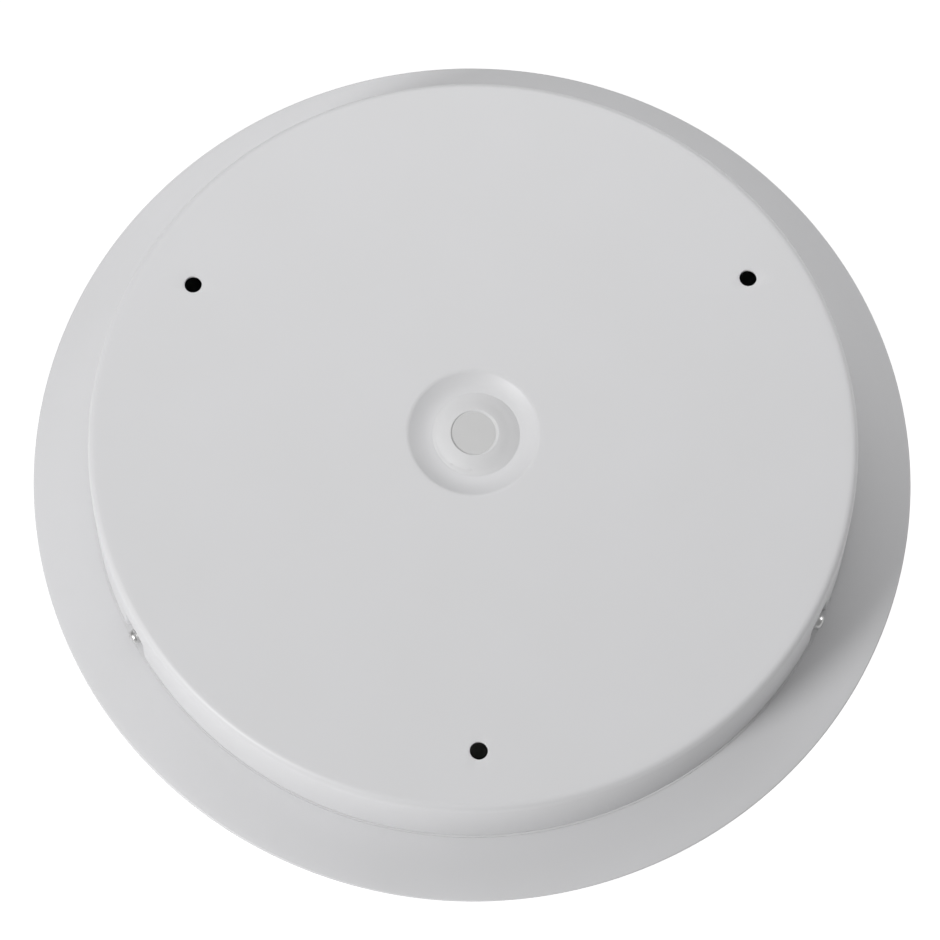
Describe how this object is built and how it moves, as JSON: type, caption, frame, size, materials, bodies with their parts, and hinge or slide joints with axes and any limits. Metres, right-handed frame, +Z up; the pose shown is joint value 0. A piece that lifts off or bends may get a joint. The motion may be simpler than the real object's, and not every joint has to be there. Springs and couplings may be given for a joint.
{
  "type": "soffit downlight",
  "caption": "Round white surface soffit light: a shallow pressed pan with fixing holes and a blind cable grommet, and a wide trim ring with an opal diffuser held by side screws.",
  "frame": {"origin": "centre of the pan's back face, the face that lies on the soffit, at the centre of the fixing holes' circle", "axes": "+Z points up into the soffit, the light shines along -Z, and one fixing hole lies towards -Y"},
  "size_m": [0.3, 0.3, 0.041],
  "materials": {
    "white_powder_coat": "satin white powder coat",
    "white_coated_casting": "satin white powder coat on cast aluminium",
    "white_tray_paint": "matt white reflective paint",
    "white_silicone": "matt white silicone",
    "zinc_steel": "bright zinc plate",
    "nickel_screw": "polished nickel plate",
    "white_solder_mask": "white solder mask on an aluminium board",
    "led_phosphor": "yellow phosphor gel",
    "white_nylon": "moulded",
    "black_rubber": "matt",
    "white_driver_plastic": "fine moulded texture",
    "green_board": "solder mask",
    "transformer_tape": "wound tape",
    "capacitor_sleeve": "shrink sleeve",
    "copper_winding": "enamelled copper",
    "brass": "turned",
    "brown_insulation": "cable insulation",
    "blue_insulation": "cable insulation",
    "green_yellow_insulation": "cable insulation",
    "red_insulation": "cable insulation",
    "black_insulation": "cable insulation",
    "opal_diffuser": "opal acrylic, satin"
  },
  "bodies": {
    "pan": {"back_pan": "white_powder_coat", "cable_grommet": "white_silicone", "tray_pillars": "zinc_steel", "led_tray": "white_tray_paint", "tray_screws": "zinc_steel", "led_board": "white_solder_mask", "led_chips": "led_phosphor", "board_screws": "zinc_steel", "led_connector": "white_nylon", "tray_bush": "black_rubber", "driver_case": "white_driver_plastic", "driver_lid": "white_driver_plastic", "driver_board": "green_board", "driver_transformer": "transformer_tape", "driver_capacitors": "capacitor_sleeve", "driver_choke": "copper_winding", "driver_screws": "zinc_steel", "terminal_block": "white_nylon", "terminal_inserts": "brass", "terminal_screws": "zinc_steel", "terminal_stud": "zinc_steel", "terminal_nut": "zinc_steel", "earth_stud": "zinc_steel", "earth_lug": "zinc_steel", "earth_washer": "zinc_steel", "earth_nut": "zinc_steel", "live_lead": "brown_insulation", "neutral_lead": "blue_insulation", "earth_lead": "green_yellow_insulation", "led_lead_positive": "red_insulation", "led_lead_negative": "black_insulation"},
    "front": {"trim_ring": "white_coated_casting", "pan_seal": "white_silicone", "screw_inserts": "brass", "diffuser": "opal_diffuser", "diffuser_gasket": "white_silicone", "diffuser_clamp": "zinc_steel", "clamp_screws": "zinc_steel"},
    "left_screw": {"side_screw_left": "nickel_screw", "side_washer_left": "nickel_screw"},
    "right_screw": {"side_screw_right": "nickel_screw", "side_washer_right": "nickel_screw"},
    "rear_screw": {"side_screw_rear": "nickel_screw", "side_washer_rear": "nickel_screw"}
  },
  "joints": [
    {"name": "front_drop", "type": "slide", "parent": "pan", "child": "front", "axis": [0, 0, -1], "range_m": [0, 0.06]},
    {"name": "left_screw_out", "type": "slide", "parent": "front", "child": "left_screw", "axis": [-0.8788, -0.4772, 0], "range_m": [0, 0.005]},
    {"name": "right_screw_out", "type": "slide", "parent": "front", "child": "right_screw", "axis": [0.887, -0.4617, 0], "range_m": [0, 0.005]},
    {"name": "rear_screw_out", "type": "slide", "parent": "front", "child": "rear_screw", "axis": [-0.0087, 1, 0], "range_m": [0, 0.005]}
  ]
}
